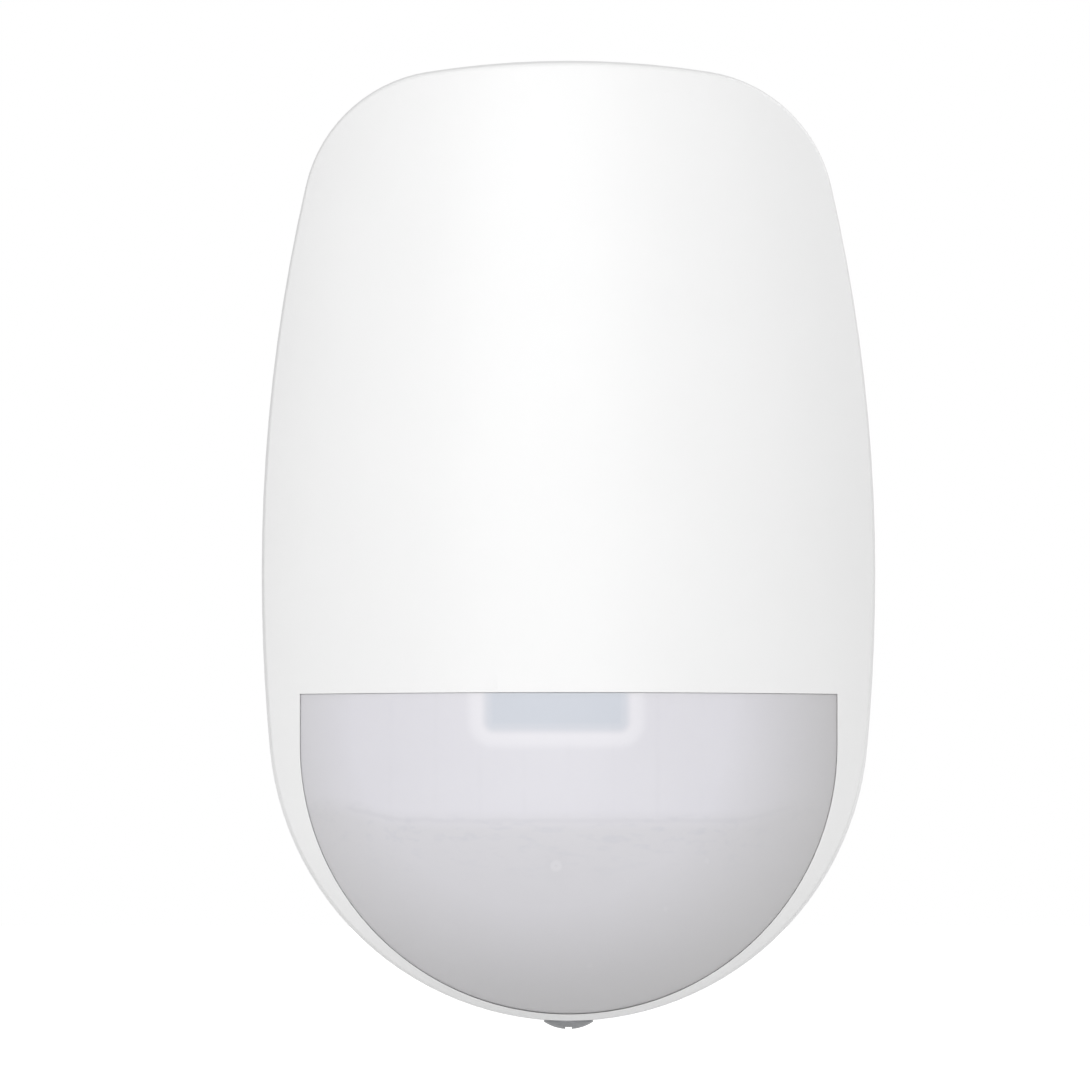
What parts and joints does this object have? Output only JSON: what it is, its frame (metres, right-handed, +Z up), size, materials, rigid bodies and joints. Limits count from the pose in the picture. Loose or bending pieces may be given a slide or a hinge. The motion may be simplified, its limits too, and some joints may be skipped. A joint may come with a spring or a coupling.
{
  "type": "motion sensor",
  "caption": "Wall-mounted passive infrared motion sensor with a hinged domed cover, moulded Fresnel lens, tamper switches and battery.",
  "frame": {"origin": "centre of the flat back face that lies on the wall, midway between the two wall screws", "axes": "+Z up the wall along the casing's height, +Y into the wall, so the lens faces -Y, +X to the right seen from the front"},
  "size_m": [0.0658, 0.0484, 0.1038],
  "materials": {
    "casing_abs": "fine satin texture, injection moulded ABS",
    "lens_polyethylene": "milky, semi-translucent high-density polyethylene",
    "light_pipe": "clear moulded polycarbonate, polished",
    "frame_abs": "matt white moulded ABS",
    "circuit_laminate": "green solder mask over glass-epoxy laminate",
    "module_laminate": "blue solder mask over glass-epoxy laminate",
    "zinc_screw_steel": "bright zinc-plated steel",
    "cover_screw_steel": "passivated stainless steel, satin",
    "tinned_can": "tin-plated pressed steel",
    "sensor_can_steel": "nickel-plated drawn steel",
    "sensor_filter": "polished coated silicon, dark mirror",
    "chip_epoxy": "black moulded epoxy, matt",
    "ceramic_chip": "fired ceramic, tan",
    "copper_wire": "enamelled copper wire",
    "capacitor_can": "drawn aluminium can",
    "battery_shell": null,
    "battery_wrap": "shrunk PVC sleeve, plain blue",
    "holder_nylon": "black glass-filled nylon",
    "contact_spring_steel": "nickel-plated spring steel",
    "switch_black": "black moulded phenolic",
    "switch_red": "red moulded nylon",
    "slider_white": "white moulded acetal",
    "button_acetal": "ivory moulded acetal",
    "led_epoxy": "clear moulded epoxy over a white package",
    "label_film": "matt white polyester film, blank",
    "sensor_base": "natural nylon spacer"
  },
  "bodies": {
    "wall_base": {"rear_cover": "casing_abs", "rating_label": "label_film", "circuit_board": "circuit_laminate", "board_screws": "zinc_screw_steel", "sensor_spacer": "sensor_base", "sensor_can": "sensor_can_steel", "sensor_window": "sensor_filter", "sensor_leads": "contact_spring_steel", "status_led": "led_epoxy", "rf_module_board": "module_laminate", "rf_shield_can": "tinned_can", "microcontroller": "chip_epoxy", "chip_components": "ceramic_chip", "antenna": "copper_wire", "smoothing_capacitor": "capacitor_can", "battery_holder": "holder_nylon", "battery_contact_plus": "contact_spring_steel", "battery_contact_spring": "contact_spring_steel", "enrol_switch_body": "switch_black", "cover_tamper_switch_body": "switch_black", "dip_switch_body": "switch_red", "wall_tamper_switch_body": "switch_black", "wall_tamper_spring": "contact_spring_steel"},
    "battery_cell": {"battery_can": "battery_shell", "battery_sleeve": "battery_wrap"},
    "enrol_key": {"enrol_button": "button_acetal"},
    "cover_pin": {"cover_tamper_plunger": "slider_white"},
    "wall_pin": {"wall_tamper_plunger": "frame_abs"},
    "dip_lever_1": {"dip_slider_1": "slider_white"},
    "dip_lever_2": {"dip_slider_2": "slider_white"},
    "locking_screw": {"cover_screw": "cover_screw_steel"},
    "hinged_cover": {"front_cover": "casing_abs", "fresnel_lens": "lens_polyethylene", "light_guide": "light_pipe", "lens_retainer": "frame_abs", "retainer_screws": "zinc_screw_steel"}
  },
  "joints": [
    {"name": "cover_hinge", "type": "hinge", "parent": "wall_base", "child": "hinged_cover", "pos_m": [0, -0.017, 0.0515], "axis": [-1, 0, 0], "range_deg": [0, 60]},
    {"name": "cover_screw_travel", "type": "slide", "parent": "wall_base", "child": "locking_screw", "axis": [0, 0, -1], "range_m": [0, 0.009]},
    {"name": "battery_lift", "type": "slide", "parent": "wall_base", "child": "battery_cell", "axis": [0, -1, 0], "range_m": [0, 0.009]},
    {"name": "enrol_press", "type": "slide", "parent": "wall_base", "child": "enrol_key", "axis": [0, 1, 0], "range_m": [0, 0.0003], "stiffness_N_per_m": 3000},
    {"name": "cover_tamper_travel", "type": "slide", "parent": "wall_base", "child": "cover_pin", "axis": [0, -1, 0], "range_m": [0, 0.0012]},
    {"name": "wall_tamper_travel", "type": "slide", "parent": "wall_base", "child": "wall_pin", "axis": [0, 1, 0], "range_m": [0, 0.0015], "stiffness_N_per_m": 250, "deforming": ["wall_tamper_spring"]},
    {"name": "dip_1_slide", "type": "slide", "parent": "wall_base", "child": "dip_lever_1", "axis": [0, 0, 1], "range_m": [0, 0.00146]},
    {"name": "dip_2_slide", "type": "slide", "parent": "wall_base", "child": "dip_lever_2", "axis": [0, 0, 1], "range_m": [0, 0.00146]}
  ],
  "couplings": [
    {"joint": "cover_tamper_travel", "follows": "cover_hinge", "m_per_rad": 0.001145}
  ]
}
